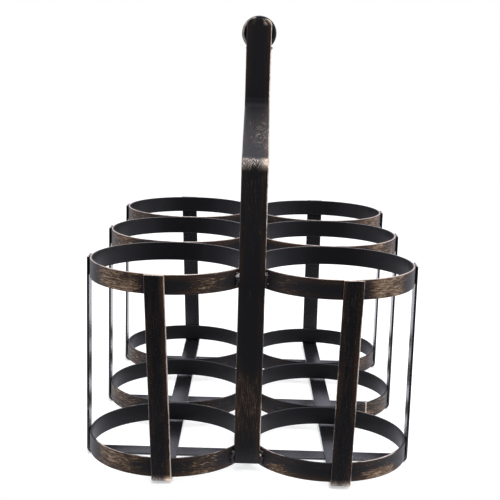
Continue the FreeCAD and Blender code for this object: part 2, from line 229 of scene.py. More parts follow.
stroke_feather = 0.02
corner_reach, corner_core = 0.0045, 0.0024
brushed = 0.0
for stroke in strokes:
    stroked = zone(bent_strip, along, (bent[f"{stroke} from"], bent[f"{stroke} to"]), stroke_feather)
    brushed = reckon(bent_strip, "MULTIPLY_ADD", stroked, bent[f"{stroke} load"], brushed)
line = note_on(bent_strip, line, {
    "along": along, "to_tip": to_tip, "tip": reckon(bent_strip, "MINIMUM", along, to_tip),
    "tip_wear_and_highlight": bent["Wear and highlight at tips"], "bend": turning, "brushed": brushed, "batch": bent["Batch"],
    "scuffed": zone(bent_strip, along, (bent["Scuffed from"], bent["Scuffed to"]), stroke_feather),
    "corner": product(bent_strip, bent["Corner wear"],
                      fade(bent_strip, to_tip, none_at=corner_reach, full_at=corner_core))})
strip = roll_strip(bent_strip, bent, line)

# The corners of a rounded tip are drawn in, along a quarter circle.
corner_radius = bent["Tip corner radius"]
into_corner = reckon(bent_strip, "SUBTRACT", corner_radius, noted(bent_strip, "to_tip"))
into_corner = reckon(bent_strip, "MAXIMUM", 0.0, into_corner)
squares = [reckon(bent_strip, "MULTIPLY", term, term) for term in (corner_radius, into_corner)]
still_wide = reckon(bent_strip, "SQRT", reckon(bent_strip, "SUBTRACT", *squares))
narrowing = reckon(bent_strip, "SUBTRACT", corner_radius, still_wide)
minus_half_width = reckon(bent_strip, "MULTIPLY", bent["Strip width"], -0.5)
pull_share = reckon(bent_strip, "DIVIDE", narrowing, minus_half_width)
pull = add_node(bent_strip, "ShaderNodeVectorMath", {
    0: bent["Across"], "Scale": product(bent_strip, pull_share, noted(bent_strip, "across"))},
    operation="SCALE")[0]
strip = add_node(bent_strip, "GeometryNodeSetPosition", {"Geometry": strip, "Offset": pull})[0]
close_tree(bent_strip, strip, bent["Finish"])


def make_piece(name, outline, tree, settings, end_bevel=0.0, fuse=0.0):
    """Runs a tree on an outline, eases the cut ends or melts drops together, and leaves a plain mesh
    that stands for the CAD node of the same name."""
    piece = bpy.data.objects.new(name + "_look", outline)
    bpy.context.scene.collection.objects.link(piece)
    shaping = piece.modifiers.new("shaping", "NODES")
    shaping.node_group = tree
    for item in tree.interface.items_tree:
        if item.in_out == "INPUT" and item.name in settings:
            shaping[item.identifier] = settings[item.name]
    if end_bevel:
        easing = piece.modifiers.new("easing", "BEVEL")
        easing.width = end_bevel
        easing.segments = 2
        easing.limit_method = "ANGLE"
        easing.angle_limit = math.radians(50)
        piece.modifiers.new("facing", "WEIGHTED_NORMAL").keep_sharp = True
    if fuse:
        melting = piece.modifiers.new("melting", "REMESH")
        melting.mode = "VOXEL"
        melting.voxel_size = fuse
        melting.use_smooth_shade = True
    depsgraph = bpy.context.evaluated_depsgraph_get()
    shaped = bpy.data.meshes.new_from_object(piece.evaluated_get(depsgraph),
                                             preserve_all_data_layers=True, depsgraph=depsgraph)
    shaped.name = name + "_look"
    piece.modifiers.clear()
    piece.data = shaped
    shaped.materials.clear()
    shaped.materials.append(settings["Finish"])
    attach(piece, "root")
    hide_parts(name)


def path_outline(name, points):
    mesh = bpy.data.meshes.new(name)
    mesh.from_pydata(points, [(i, i + 1) for i in range(len(points) - 1)], [])
    return mesh


def start_finish(name):
    """A material with an empty node tree, and that tree."""
    material = bpy.data.materials.new(name)
    material.use_nodes = True
    material.node_tree.nodes.clear()
    return material, material.node_tree


def mix_colour(tree, share, under, over):
    return add_node(tree, "ShaderNodeMix", {0: share, 6: under, 7: over}, data_type="RGBA")[2]


def grain(tree, felt, lengthwise, sideways, cell, lot, detail=2.0):
    """Noise in cells of a given length and width, in metres. Each lot and batch has its own pattern."""
    cell_length, cell_width = cell
    batch_stride = 7.31
    spot = add_node(tree, "ShaderNodeCombineXYZ", {
        "X": reckon(tree, "DIVIDE", lengthwise, cell_length),
        "Y": reckon(tree, "DIVIDE", sideways, cell_width),
        "Z": reckon(tree, "MULTIPLY_ADD", felt["batch"], batch_stride, lot)})[0]
    return add_node(tree, "ShaderNodeTexNoise", {
        "Vector": spot, "Scale": 1.0, "Detail": detail, "Roughness": 0.62})[0]


def weigh(tree, *shares):
    """Adds noises up by their shares, about zero."""
    total = 0.0
    for noise, share in shares:
        total = reckon(tree, "MULTIPLY_ADD", reckon(tree, "SUBTRACT", noise, 0.5), share, total)
    return total


def feel_surface(tree, half_width, half_thickness):
    """The notes on a piece's points, with how far each is from an edge and whether it looks outward."""
    felt = {note: add_node(tree, "ShaderNodeAttribute", {}, attribute_name=note)["Fac"]
            for note in ("along", "across", "depth", "wear", "tip", "tip_wear_and_highlight", "bend", "brushed",
                         "low", "scuffed", "corner", "batch")}
    felt["outward"] = fade(tree, felt["depth"], none_at=half_thickness * 0.3,
                           full_at=half_thickness * 0.9)
    off_middle = reckon(tree, "ABSOLUTE", felt["across"])
    felt["from_edge"] = reckon(tree, "SUBTRACT", half_width, off_middle)
    return felt


def brush_on_bronze(tree, felt, coverage, bristle_length):
    """Fine bristle lines within tufts, straight where the hand was steady and swirled elsewhere. They
    leave a film, a cover over part of it, and ridges on that where the brush was full."""
    along, across = felt["along"], felt["across"]
    sway = grain(tree, felt, along, across, cell=(0.07, 0.07), lot=3.0, detail=1.0)
    swirl = grain(tree, felt, along, across, cell=(0.010, 0.008), lot=7.0)
    steady_swing, loose_swing = 0.0010, 0.0050
    swing = between(tree, fade(tree, sway, none_at=0.40, full_at=0.62), steady_swing, loose_swing)
    hand = reckon(tree, "MULTIPLY_ADD", weigh(tree, (swirl, 1.0)), swing, across)
    bristles = grain(tree, felt, along, hand, cell=(bristle_length, 0.00050), lot=11.0)
    tufts = grain(tree, felt, along, hand, cell=(0.024, 0.0026), lot=23.0)
    speckle = grain(tree, felt, along, hand, cell=(0.0016, 0.0008), lot=31.0)
    blotch = grain(tree, felt, along, hand, cell=(0.030, 0.018), lot=47.0)

    thin_load, full_load = 0.70, 1.05
    evenness = between(tree, fade(tree, blotch, none_at=0.35, full_at=0.62), thin_load, full_load)
    missed = product(tree, felt["low"], fade(tree, across, none_at=-0.0030, full_at=0.0025))
    load = product(tree, felt["brushed"], coverage, evenness, reckon(tree, "SUBTRACT", 1.0, missed))
    streaks = weigh(tree, (bristles, 2.2), (tufts, 0.6), (speckle, 0.9))
    marks = {"hand": hand, "tufts": tufts, "speckle": speckle}
    for layer, contrast, none_at, full_at in (
            ("film", 0.60, 0.12, 0.90), ("cover", 1.20, 0.45, 1.25), ("ridges", 1.60, 0.95, 1.75)):
        left_behind = reckon(tree, "MULTIPLY_ADD", streaks, contrast, load)
        marks[layer] = product(tree, fade(tree, left_behind, none_at, full_at), felt["outward"])
    return marks


def rub_rims(tree, felt, half_thickness, stretches, scuffs, rim_band, rim_from, rim_gain):
    """Edges and cut ends rubbed bare in stretches, most where the brush went as well. On the straps'
    upper ends and the handle tube's left rims, the cut ends' copper is also a painted highlight.
    """
    end_band = 0.0009
    edge, cut_end = [
        add_node(tree, "ShaderNodeMapRange", {"Value": felt[note], "From Min": band, "From Max": 0.0})[0]
        for note, band in (("from_edge", rim_band), ("tip", end_band))]
    edge_wear = reckon(tree, "MULTIPLY_ADD", felt["brushed"], rim_gain, felt["wear"])
    wear = between(tree, cut_end, edge_wear, felt["tip_wear_and_highlight"])
    rim = reckon(tree, "MAXIMUM", edge, cut_end)

    wear_pull, rim_pull, hold, rim_feather = 1.2, 0.6, 0.95, 0.5
    rubbed = reckon(tree, "MULTIPLY_ADD", wear, wear_pull, weigh(tree, (stretches, 1.8), (scuffs, 0.7)))
    rubbed = reckon(tree, "MULTIPLY_ADD", rim, rim_pull, reckon(tree, "SUBTRACT", rubbed, hold))
    outer_part = fade(tree, felt["depth"], none_at=half_thickness * rim_from,
                      full_at=half_thickness * (rim_from + rim_feather))
    return product(tree, fade(tree, rubbed, none_at=-0.02, full_at=0.30),
                   fade(tree, rim, none_at=0.02, full_at=0.40), outer_part)


def scratch_lines(tree, felt):
    """Two sets of short scratches that cross each other at a slant."""
    along, across = felt["along"], felt["across"]
    scratched = 0.0
    for slant, cell, lot in ((0.75, (0.0070, 0.00040), 83.0), (-0.50, (0.0050, 0.00050), 97.0)):
        ahead, aside = math.cos(slant), math.sin(slant)
        lengthwise = reckon(tree, "MULTIPLY_ADD", across, aside, product(tree, along, ahead))
        sideways = reckon(tree, "MULTIPLY_ADD", across, ahead, product(tree, along, -aside))
        lines = grain(tree, felt, lengthwise, sideways, cell, lot, detail=1.0)
        lines = fade(tree, lines, none_at=0.55, full_at=0.69)
        scratched = reckon(tree, "MAXIMUM", scratched, lines)
    return scratched


def wear_to_copper(tree, felt, marks, half_thickness, rim_band, rim_from, rim_gain):
    """Rust beside the worn edges, and bare copper on rims, which on the straps' upper ends and the
    tube's left rims is also a painted highlight, in a scuffed stretch and at a chipped corner. On the
    outside of a bend, copper scratches and a warmer copper near worn edges are partly wear and partly
    a painted highlight where the bend faces the key light. Gives where they are, and the copper's colour."""
    along, across, from_edge, outward = (felt[note] for note in ("along", "across", "from_edge", "outward"))
    stretches = grain(tree, felt, along, reckon(tree, "SIGN", across), cell=(0.05, 0.38), lot=71.0)
    scuffs = grain(tree, felt, along, marks["hand"], cell=(0.0038, 0.0024), lot=59.0, detail=3.0)
    rust = product(tree, fade(tree, from_edge, none_at=0.0048, full_at=0.0004), felt["wear"],
                   fade(tree, marks["tufts"], none_at=0.30, full_at=0.60),
                   fade(tree, stretches, none_at=0.22, full_at=0.58), outward)

    glow_highlight_gain, scuff_share, bare_share = 3.0, 0.7, 0.8
    scratched = scratch_lines(tree, felt)
    worn_side = fade(tree, felt["wear"], none_at=0.30, full_at=0.48)
    # Copper near worn edges, and scratches, on the outside of a bend: partly wear, partly a painted
    # highlight where the bend faces the key light.
    glow_highlight = product(tree, fade(tree, from_edge, none_at=0.0070, full_at=0.0010),
                   felt["wear"], felt["wear"], glow_highlight_gain)
    bend_wear_and_highlight = product(tree, reckon(tree, "MAXIMUM", scratched, glow_highlight),
                      fade(tree, felt["bend"], none_at=0.20, full_at=1.0))
    scuffed = product(tree, scratched, felt["scuffed"], worn_side,
                      fade(tree, scuffs, none_at=0.40, full_at=0.60), scuff_share)
    chipped = product(tree, felt["corner"], fade(tree, from_edge, none_at=0.0060, full_at=0.0032),
                      worn_side, fade(tree, scuffs, none_at=0.35, full_at=0.55))
    damaged = reckon(tree, "MAXIMUM", reckon(tree, "MAXIMUM", bend_wear_and_highlight, scuffed), chipped)
    damaged = product(tree, damaged, outward, bare_share)

    dull_copper, bright_copper = (0.40, 0.27, 0.185, 1.0), (0.84, 0.755, 0.68, 1.0)
    # A warmer copper near worn edges, part of the painted highlight on bends.
    warm_copper_highlight = (0.80, 0.60, 0.43, 1.0)
    copper = mix_colour(tree, scuffs, dull_copper, bright_copper)
    copper = mix_colour(tree, product(tree, glow_highlight, damaged), copper, warm_copper_highlight)
    rubbed = rub_rims(tree, felt, half_thickness, stretches, scuffs, rim_band, rim_from, rim_gain)
    return rust, reckon(tree, "MAXIMUM", rubbed, damaged), copper


def brushed_paint(name, half_width, half_thickness, coverage, richness, gloss, blackness, shine=0.22,
                  bristle_length=0.010, rim_band=0.0009, rim_from=-0.5, rim_gain=0.0, back_gloss=None,
                  lacquer=0.0):
    """Black paint with bronze dragged over it by a nearly dry brush, and with edges worn to copper."""
    material, tree = start_finish(name)
    felt = feel_surface(tree, half_width, half_thickness)
    marks = brush_on_bronze(tree, felt, coverage, bristle_length)
    rust, worn, copper = wear_to_copper(tree, felt, marks, half_thickness, rim_band, rim_from, rim_gain)

    deep_black, soft_black = [[blackness * part for part in black] + [1.0]
                              for black in ((0.0036, 0.0036, 0.0042), (0.0060, 0.0057, 0.0060))]
    rust_share, rust_brown = 0.9, (0.086, 0.043, 0.021, 1.0)
    bronzes = {"film": (0.038, 0.021, 0.012, 1.0), "cover": (0.186, 0.118, 0.071, 1.0),
               "ridges": (0.48, 0.345, 0.235, 1.0)}
    colour = mix_colour(tree, marks["speckle"], deep_black, soft_black)
    colour = mix_colour(tree, product(tree, rust, rust_share), colour, rust_brown)
    for layer, bronze in bronzes.items():
        colour = mix_colour(tree, product(tree, marks[layer], richness), colour, bronze)
    colour = mix_colour(tree, worn, colour, copper)

    unevenness, bronze_roughness, copper_roughness, crease_roughness = 0.12, 0.48, 0.36, 0.9
    bronze_metal, copper_metal = 0.3, 0.6
    front_gloss = between(tree, marks["speckle"], gloss, gloss + unevenness)
    roughness = between(tree, felt["outward"], back_gloss or gloss, front_gloss)
    roughness = between(tree, marks["film"], roughness, bronze_roughness)
    roughness = between(tree, worn, roughness, copper_roughness)
    inside_bend = fade(tree, felt["bend"], none_at=-0.1, full_at=-0.6)
    roughness = between(tree, inside_bend, roughness, crease_roughness)
    metal = reckon(tree, "MAXIMUM", product(tree, marks["ridges"], bronze_metal * richness),
                   product(tree, worn, copper_metal))
    relief = product(tree, weigh(tree, (marks["cover"], 0.6), (marks["tufts"], 0.3)), felt["outward"])
    bumped = add_node(tree, "ShaderNodeBump",
                      {"Strength": 0.35, "Distance": 0.00010, "Height": relief})[0]
    shader = add_node(tree, "ShaderNodeBsdfPrincipled", {
        "Base Color": colour, "Metallic": metal, "Roughness": roughness, "Normal": bumped,
        "Specular IOR Level": shine, "Specular Tint": (0.92, 0.92, 1.0, 1.0),
        "Coat Weight": lacquer, "Coat Roughness": 0.25})[0]
    add_node(tree, "ShaderNodeOutputMaterial", {"Surface": shader})
    return material


strap_paint = brushed_paint("strap_paint", strip_width / 2, strip_thickness / 2, coverage=0.50,
                            richness=0.26, gloss=0.20, blackness=1.7, shine=0.30, back_gloss=0.27,
                            lacquer=0.5)
# The straps' upper cut ends are painted copper, partly for wear and partly as a painted highlight of the
# light from above.
strap_sizes = {"Strip width": strip_width, "Strip thickness": strip_thickness, "Edge radius": 0.00055,
               "Wear and highlight at tips": 0.55, "First stroke from": -0.02, "First stroke to": 0.7,
               "First stroke load": 0.55, "Finish": strap_paint}
strap_end_bevel = 0.0002
cross_bend, first_cross_batch = 0.0025, 0.5
for number, (row, y) in enumerate(row_places.items()):
    path = [(-cross_reach, y, strap_top), (-cross_reach, y, cross_height),
            (cross_reach, y, cross_height), (cross_reach, y, strap_top)]
    make_piece(f"cross_strap_{row}", path_outline("cross_strap_path", path), bent_strip,
               strap_sizes | {"Bend radius": cross_bend + strip_thickness / 2,
                              "Across": (0.0, -1.0, 0.0), "Batch": first_cross_batch + number},
               end_bevel=strap_end_bevel)


# Long straps: two longer pieces of the same strip, one under each column of three cups, lying
# across the cross straps and spot-welded to them. Their ends are bent up sharply, by hand, so that
# the legs lean a little to the side and don't meet the rings at their middle.
column_places = {column: cad_middle(f"upper_ring_front_{column}", "X") for column in ("left", "right")}
long_reach = cad_span("long_strap_left", "Y")[1] - strip_thickness / 2
long_height = cad_span("long_strap_left", "Z")[0] + strip_thickness / 2
long_bend, first_long_batch = 0.0010, 5.2
leg_shifts = {"left": {"front": (-0.0002, -0.0062), "rear": (-0.0002, -0.0052)},
              "right": {"front": (0.0060, 0.0087), "rear": (0.0005, 0.0003)}}
leg_wear = {"left": {"Wear at plus edge": 0.90, "Wear at minus edge": 0.25},
            "right": {"Wear at plus edge": 0.55, "Wear at minus edge": 0.40}}
for number, (column, x) in enumerate(column_places.items()):
    (front_foot, front_top), (rear_foot, rear_top) = leg_shifts[column].values()
    path = [(x + front_top, -long_reach, strap_top), (x + front_foot, -long_reach, long_height),
            (x + rear_foot, long_reach, long_height), (x + rear_top, long_reach, strap_top)]
    make_piece(f"long_strap_{column}", path_outline("long_strap_path", path), bent_strip,
               strap_sizes | leg_wear[column] | {
                   "Bend radius": long_bend + strip_thickness / 2, "Across": (1.0, 0.0, 0.0),
                   "Batch": first_long_batch + number},
               end_bevel=strap_end_bevel)


# Rings: twelve hoops rolled from the strip on edge, one at the foot and one at the shoulder of
# each bottle, butted at a seam. The brush went round the open quarters of each hoop and left the
# corners by the straps and by the next hoop black.
rolled_ring, rolled = start_tree("rolled_ring", Vector=["Centre", "Across"], Material=["Finish"], Float=[
    "Middle radius", "Strip width", "Strip thickness", "Edge radius", "Seam turn", "Seam gap",
    "Wear at plus edge", "Wear at minus edge", "Wear at seam",
    "left stroke from", "left stroke to", "right stroke from", "right stroke to",
    "front left load", "front right load", "rear left load", "rear right load", "Stroke low", "Batch"])
gap_turn = reckon(rolled_ring, "DIVIDE", rolled["Seam gap"], rolled["Middle radius"])
hoop = add_node(rolled_ring, "GeometryNodeCurveArc", {
    "Resolution": 193, "Radius": rolled["Middle radius"], "Start Angle": rolled["Seam turn"],
    "Sweep Angle": reckon(rolled_ring, "SUBTRACT", math.tau, gap_turn)}, mode="RADIUS")[0]
spot = here(rolled_ring)
on_right = reckon(rolled_ring, "GREATER_THAN", spot["X"], 0.0)
at_rear = reckon(rolled_ring, "GREATER_THAN", spot["Y"], 0.0)
end_load_pair = [between(rolled_ring, on_right, rolled[f"{end} left load"], rolled[f"{end} right load"])
                 for end in ("front", "rear")]
quarter_load = between(rolled_ring, at_rear, *end_load_pair)
from_end = reckon(rolled_ring, "ARCTAN2", reckon(rolled_ring, "ABSOLUTE", spot["X"]),
                  reckon(rolled_ring, "ABSOLUTE", spot["Y"]))
turn_feather = math.radians(18)
turn_limits = [between(rolled_ring, on_right, rolled[f"left stroke {end}"], rolled[f"right stroke {end}"])
               for end in ("from", "to")]
turn_starts = [reckon(rolled_ring, "SUBTRACT", limit, turn_feather / 2) for limit in turn_limits]
stroked = zone(rolled_ring, from_end, turn_starts, turn_feather)
along, whole_length = line_length(rolled_ring)
to_seam = reckon(rolled_ring, "MINIMUM", along, reckon(rolled_ring, "SUBTRACT", whole_length, along))
hoop = note_on(rolled_ring, hoop, {
    "along": along, "tip": to_seam, "tip_wear_and_highlight": rolled["Wear at seam"], "bend": 0.0,
    "brushed": reckon(rolled_ring, "MULTIPLY", stroked, quarter_load), "low": rolled["Stroke low"],
    "batch": rolled["Batch"]})
hoop = add_node(rolled_ring, "GeometryNodeTransform",
                {"Geometry": hoop, "Translation": rolled["Centre"]})[0]
close_tree(rolled_ring, roll_strip(rolled_ring, rolled, hoop), rolled["Finish"])

ring_paint = brushed_paint("ring_paint", strip_width / 2, strip_thickness / 2, coverage=1.0,
                           richness=1.0, gloss=0.42, back_gloss=0.34, blackness=2.4, shine=0.18,
                           bristle_length=0.0056, rim_band=0.00028, rim_from=-0.4, rim_gain=0.20)
ring_left, ring_right = cad_span("upper_ring_front_left", "X")
ring_levels = {level: cad_middle(f"{level}_ring_front_left", "Z") for level in ("upper", "lower")}
ring_sizes = {"Middle radius": (ring_right - ring_left - strip_thickness) / 2, "Strip width": strip_width,
              "Strip thickness": strip_thickness, "Edge radius": 0.0005, "Across": (0.0, 0.0, 1.0),
              "Seam gap": 0.00012, "Wear at seam": 0.8, "Finish": ring_paint}
ring_end_bevel = 0.0001
rim_wear = {"upper": {"Wear at plus edge": 0.65, "Wear at minus edge": 0.25},
            "lower": {"Wear at plus edge": 0.18, "Wear at minus edge": 0.60}}
hidden_seams = {"left": 0.0, "right": math.pi}
open_seams = {"lower_ring_middle_right": math.radians(-51.5)}

# The brush's turns are in degrees from the front or the rear. Its load is the share of a full brush.
stroke_turns = {"left": {"left": (16, 56), "right": (16, 43)},
                "right": {"left": (28, 50), "right": (22, 54)}}
turns_further_back = (32, 74)
outer_loads = {"upper": {"left": 0.95, "right": 1.05}, "lower": {"left": 0.85, "right": 0.85}}
end_loads = {"left": 0.56, "right": 0.40}
hidden_load = 0.25
row_shares = {"front": 1.0, "middle": 0.8, "rear": 0.75}
own_ways = {"lower_ring_front_right": {"Stroke low": 0.85, "front right load": 1.40,
                                       "front left load": 0.85}}
first_ring_batch, ring_batch_step = 21.1, 0.37
rings = [(level, row, column) for level in ring_levels for row in row_places for column in column_places]
for number, (level, row, column) in enumerate(rings):
    name = f"{level}_ring_{row}_{column}"
    inner_side = "right" if column == "left" else "left"
    turns = dict(stroke_turns[column])
    if row != "front":
        turns[column] = turns_further_back
    ways = {f"{side} stroke {end}": math.radians(turn)
            for side, limits in turns.items() for end, turn in zip(("from", "to"), limits)}
    for end in ("front", "rear"):
        ways[f"{end} {column} load"] = row_shares[row] * outer_loads[level][column]
        ways[f"{end} {inner_side} load"] = end_loads[column] if row == end else hidden_load
    ways["Centre"] = (column_places[column], row_places[row], ring_levels[level])
    ways["Seam turn"] = open_seams.get(name, hidden_seams[column])
    ways["Batch"] = first_ring_batch + ring_batch_step * number
    make_piece(name, path_outline("ring_start", [(0.0, 0.0, 0.0)]), rolled_ring,
               ring_sizes | rim_wear[level] | ways | own_ways.get(name, {}),
               end_bevel=ring_end_bevel)


# Uprights: two pieces of thicker flat bar, seated in the notch between the rings at each end and
# cranked inward above the bottles to carry the handle. Their upper ends are cut with round corners.
bar_width, bar_thickness = 0.016, 0.003
bar_bend = 0.0025
bar_paint = brushed_paint("bar_paint", bar_width / 2, bar_thickness / 2, coverage=0.80, richness=0.42,
                          gloss=0.26, blackness=3.0)
bar_sizes = {"Strip width": bar_width, "Strip thickness": bar_thickness, "Edge radius": 0.0010,
             "Bend radius": bar_bend + bar_thickness / 2, "Tip corner radius": 0.004,
             "Finish": bar_paint, "Wear at plus edge": 0.28, "Wear at minus edge": 0.50,
             "Wear and highlight at tips": 0.05, "Corner wear": 1.0,
             "First stroke from": 0.006, "First stroke to": 0.048, "First stroke load": 0.74,
             "Second stroke from": 0.125, "Second stroke to": 0.175, "Second stroke load": 0.35,
             "Third stroke from": 0.195, "Third stroke to": 0.240, "Third stroke load": 0.45,
             "Scuffed from": 0.190, "Scuffed to": 0.222}
bar_end_bevel = 0.0002
neck_face, foot_face = cad_span("upright_rear", "Y")
neck_place, foot_place = neck_face + bar_thickness / 2, foot_face - bar_thickness / 2
bar_foot, bar_top = cad_span("upright_rear", "Z")
lower_crank, upper_crank = 0.19066, 0.21885
bar_line = [(foot_place, bar_foot), (foot_place, lower_crank),
            (neck_place, upper_crank), (neck_place, bar_top)]
middle_bar_batch = 30.0
for end, side in (("front", -1.0), ("rear", 1.0)):
    path = [(0.0, side * out, height) for out, height in bar_line]
    make_piece(f"upright_{end}", path_outline("upright_path", path), bent_strip,
               bar_sizes | {"Across": (side, 0.0, 0.0), "Batch": middle_bar_batch + side},
               end_bevel=bar_end_bevel)


# Handle: a length of round steel tube between the uprights, butted against their inner faces and
# wider than they are. Its open ends are filed smooth, and its paint was brushed lengthwise.
drawn_tube, drawn = start_tree("drawn_tube", Vector=["Across"], Material=["Finish"], Float=[
    "Middle radius", "Height", "Strip width", "Strip thickness", "Edge radius",
    "Wear and highlight at left rims", "Wear and highlight at right rims", "Stroke load", "Batch"])
round_line = add_node(drawn_tube, "GeometryNodeCurvePrimitiveCircle",
                      {"Resolution": 96, "Radius": drawn["Middle radius"]}, mode="RADIUS")[0]
around = add_node(drawn_tube, "GeometryNodeSplineParameter", {})["Length"]
# Left rims get much more copper than right ones: a painted highlight of the light from the left on the
# rounded rim, with a little wear.
from_left = fade(drawn_tube, here(drawn_tube)["X"], none_at=-0.006, full_at=0.004)
rim_wear_and_highlight = between(drawn_tube, from_left, drawn["Wear and highlight at left rims"], drawn["Wear and highlight at right rims"])
round_line = note_on(drawn_tube, round_line, {
    "across": around, "wear": 0.0, "tip_wear_and_highlight": rim_wear_and_highlight, "bend": 0.0,
    "brushed": drawn["Stroke load"], "batch": drawn["Batch"]})
tube_lift = add_node(drawn_tube, "ShaderNodeCombineXYZ", {"Z": drawn["Height"]})[0]
round_line = add_node(drawn_tube, "GeometryNodeTransform", {
    "Geometry": round_line, "Translation": tube_lift, "Rotation": (math.pi / 2, 0.0, 0.0)})[0]
spot = here(drawn_tube)
half_length = reckon(drawn_tube, "MULTIPLY", drawn["Strip width"], 0.5)
wall = note_on(drawn_tube, strip_section(drawn_tube, drawn), {
    "along": spot["X"], "depth": spot["Y"],
    "tip": reckon(drawn_tube, "SUBTRACT", half_length, reckon(drawn_tube, "ABSOLUTE", spot["X"]))})
close_tree(drawn_tube, sweep(drawn_tube, round_line, wall, drawn["Across"]), drawn["Finish"])

# A tube has no edges along it, so its paint has them a metre away.
tube_wall, no_edges = 0.002, 1.0
tube_paint = brushed_paint("tube_paint", no_edges, tube_wall / 2, coverage=0.60, richness=0.5, gloss=0.20,
                           blackness=1.5, shine=0.6, back_gloss=0.9)
tube_bottom, tube_top = cad_span("handle_tube", "Z")
tube_front, tube_rear = cad_span("handle_tube", "Y")
tube_height = cad_middle("handle_tube", "Z")
tube_radius = (tube_top - tube_bottom) / 2
# The left rims' copper is mostly a painted highlight; the right rims' small share is wear.
tube_sizes = {"Middle radius": tube_radius - tube_wall / 2, "Height": tube_height,
              "Strip width": tube_rear - tube_front, "Strip thickness": tube_wall, "Edge radius": 0.0008,
              "Across": (0.0, -1.0, 0.0), "Wear and highlight at left rims": 0.85, "Wear and highlight at right rims": 0.10,
              "Stroke load": 0.35, "Batch": 41.0, "Finish": tube_paint}
make_piece("handle_tube", path_outline("tube_start", [(0.0, 0.0, 0.0)]), drawn_tube, tube_sizes)


# Welds: short runs of electric weld, laid drop on drop in the notches between two rings, between
# an upright and the rings beside it, and under the handle's ends, then painted over with the rest.
weld_bead, bead = start_tree("weld_bead", Float=["Drop radius", "Drop spacing"], Int=["Seed"],
                             Material=["Finish"])
stray = Vector((0.0004, 0.0004, 0.0002))
least_girth, most_girth = (0.70, 0.70, 0.60), (1.45, 1.35, 1.0)


def draw_lots(least, most):
    """Three numbers for each drop, drawn by the bead's seed."""
    return add_node(weld_bead, "FunctionNodeRandomValue", {
        "Min": least, "Max": most, "Seed": bead["Seed"]}, data_type="FLOAT_VECTOR")[0]


run = add_node(weld_bead, "GeometryNodeMeshToCurve", {0: bead["Geometry"]})[0]
drops = add_node(weld_bead, "GeometryNodeResampleCurve",
                 {"Curve": run, "Length": bead["Drop spacing"]}, mode="LENGTH")[0]
drops = add_node(weld_bead, "GeometryNodeSetPosition",
                 {"Geometry": drops, "Offset": draw_lots(-stray, stray)})[0]
drop = add_node(weld_bead, "GeometryNodeMeshIcoSphere",
                {"Radius": bead["Drop radius"], "Subdivisions": 3})[0]
drops = add_node(weld_bead, "GeometryNodeInstanceOnPoints",
                 {"Points": drops, "Instance": drop, "Scale": draw_lots(least_girth, most_girth)})[0]
close_tree(weld_bead, drops, bead["Finish"])

# The paint has flaked off a few drops, which show bright metal. These near-white spots are also a
# painted highlight, and the pattern is shifted to place one on the welds by the front upright.
slag_black, slag_brown = (0.003, 0.003, 0.003, 1.0), (0.020, 0.014, 0.011, 1.0)
bare_metal_and_highlight, flake_and_highlight_metal = (0.82, 0.78, 0.74, 1.0), 0.3
highlight_shift = (0.11, 0.02, 0.0)
weld_paint, tree = start_finish("weld_paint")
weld_place = add_node(tree, "ShaderNodeTexCoord", {})["Object"]
crust = add_node(tree, "ShaderNodeTexNoise", {"Vector": weld_place, "Scale": 900.0, "Detail": 3.0})[0]
flake_and_highlight_place = work_on_vectors(tree, "ADD", weld_place, highlight_shift)[0]
flakes_and_highlights = add_node(tree, "ShaderNodeTexNoise", {"Vector": flake_and_highlight_place, "Scale": 260.0, "Detail": 2.0})[0]
# Near-white spots: flaked paint, and a painted highlight on the weld by the front upright.
bare = fade(tree, flakes_and_highlights, none_at=0.60, full_at=0.68)
slag = mix_colour(tree, crust, slag_black, slag_brown)
sheen = add_node(tree, "ShaderNodeMapRange", {
    "Value": crust, "From Min": 0.3, "From Max": 0.7, "To Min": 0.16, "To Max": 0.36})[0]
lumps = add_node(tree, "ShaderNodeBump", {"Strength": 0.4, "Distance": 0.0002, "Height": crust})[0]
skin = add_node(tree, "ShaderNodeBsdfPrincipled", {
    "Base Color": mix_colour(tree, bare, slag, bare_metal_and_highlight),
    "Metallic": reckon(tree, "MULTIPLY", bare, flake_and_highlight_metal), "Roughness": sheen,
    "Normal": lumps, "Specular IOR Level": 0.5})[0]
add_node(tree, "ShaderNodeOutputMaterial", {"Surface": skin})

bead_half = 0.0034


def bead_outline(name, spots, middle_heights):
    """One upright line for each bead, as points joined in pairs."""
    points, runs = [], []
    for x, y in spots:
        for z in middle_heights:
            runs.append((len(points), len(points) + 1))
            points += [(x, y, z - bead_half), (x, y, z + bead_half)]
    mesh = bpy.data.meshes.new(name)
    mesh.from_pydata(points, runs, [])
    return mesh


weld_sizes = {"Drop radius": 0.0013, "Drop spacing": 0.0010, "Finish": weld_paint}
melt = 0.00032
notch = 0.0055
front_row, middle_row, rear_row = row_places.values()
row_joints = ((front_row + middle_row) / 2, (middle_row + rear_row) / 2)
notches = [(0.0, y + way * notch) for y in row_places.values() for way in (-1, 1)]
notches += [(x + way * notch, y)
            for x in column_places.values() for y in row_joints for way in (-1, 1)]
for seed, (level, z) in enumerate(ring_levels.items()):
    make_piece(f"ring_welds_{level}", bead_outline("ring_beads", notches, [z]), weld_bead,
               weld_sizes | {"Seed": seed}, fuse=melt)

bead_off_side, bead_off_middle = 0.0009, 0.00063
beside_bar, past_middle = bar_width / 2 + bead_off_side, foot_place + bead_off_middle
bar_sides = [(side * beside_bar, way * past_middle) for side in (-1, 1) for way in (-1, 1)]
make_piece("upright_welds", bead_outline("upright_beads", bar_sides, ring_levels.values()), weld_bead,
           weld_sizes | {"Seed": 7}, fuse=melt)

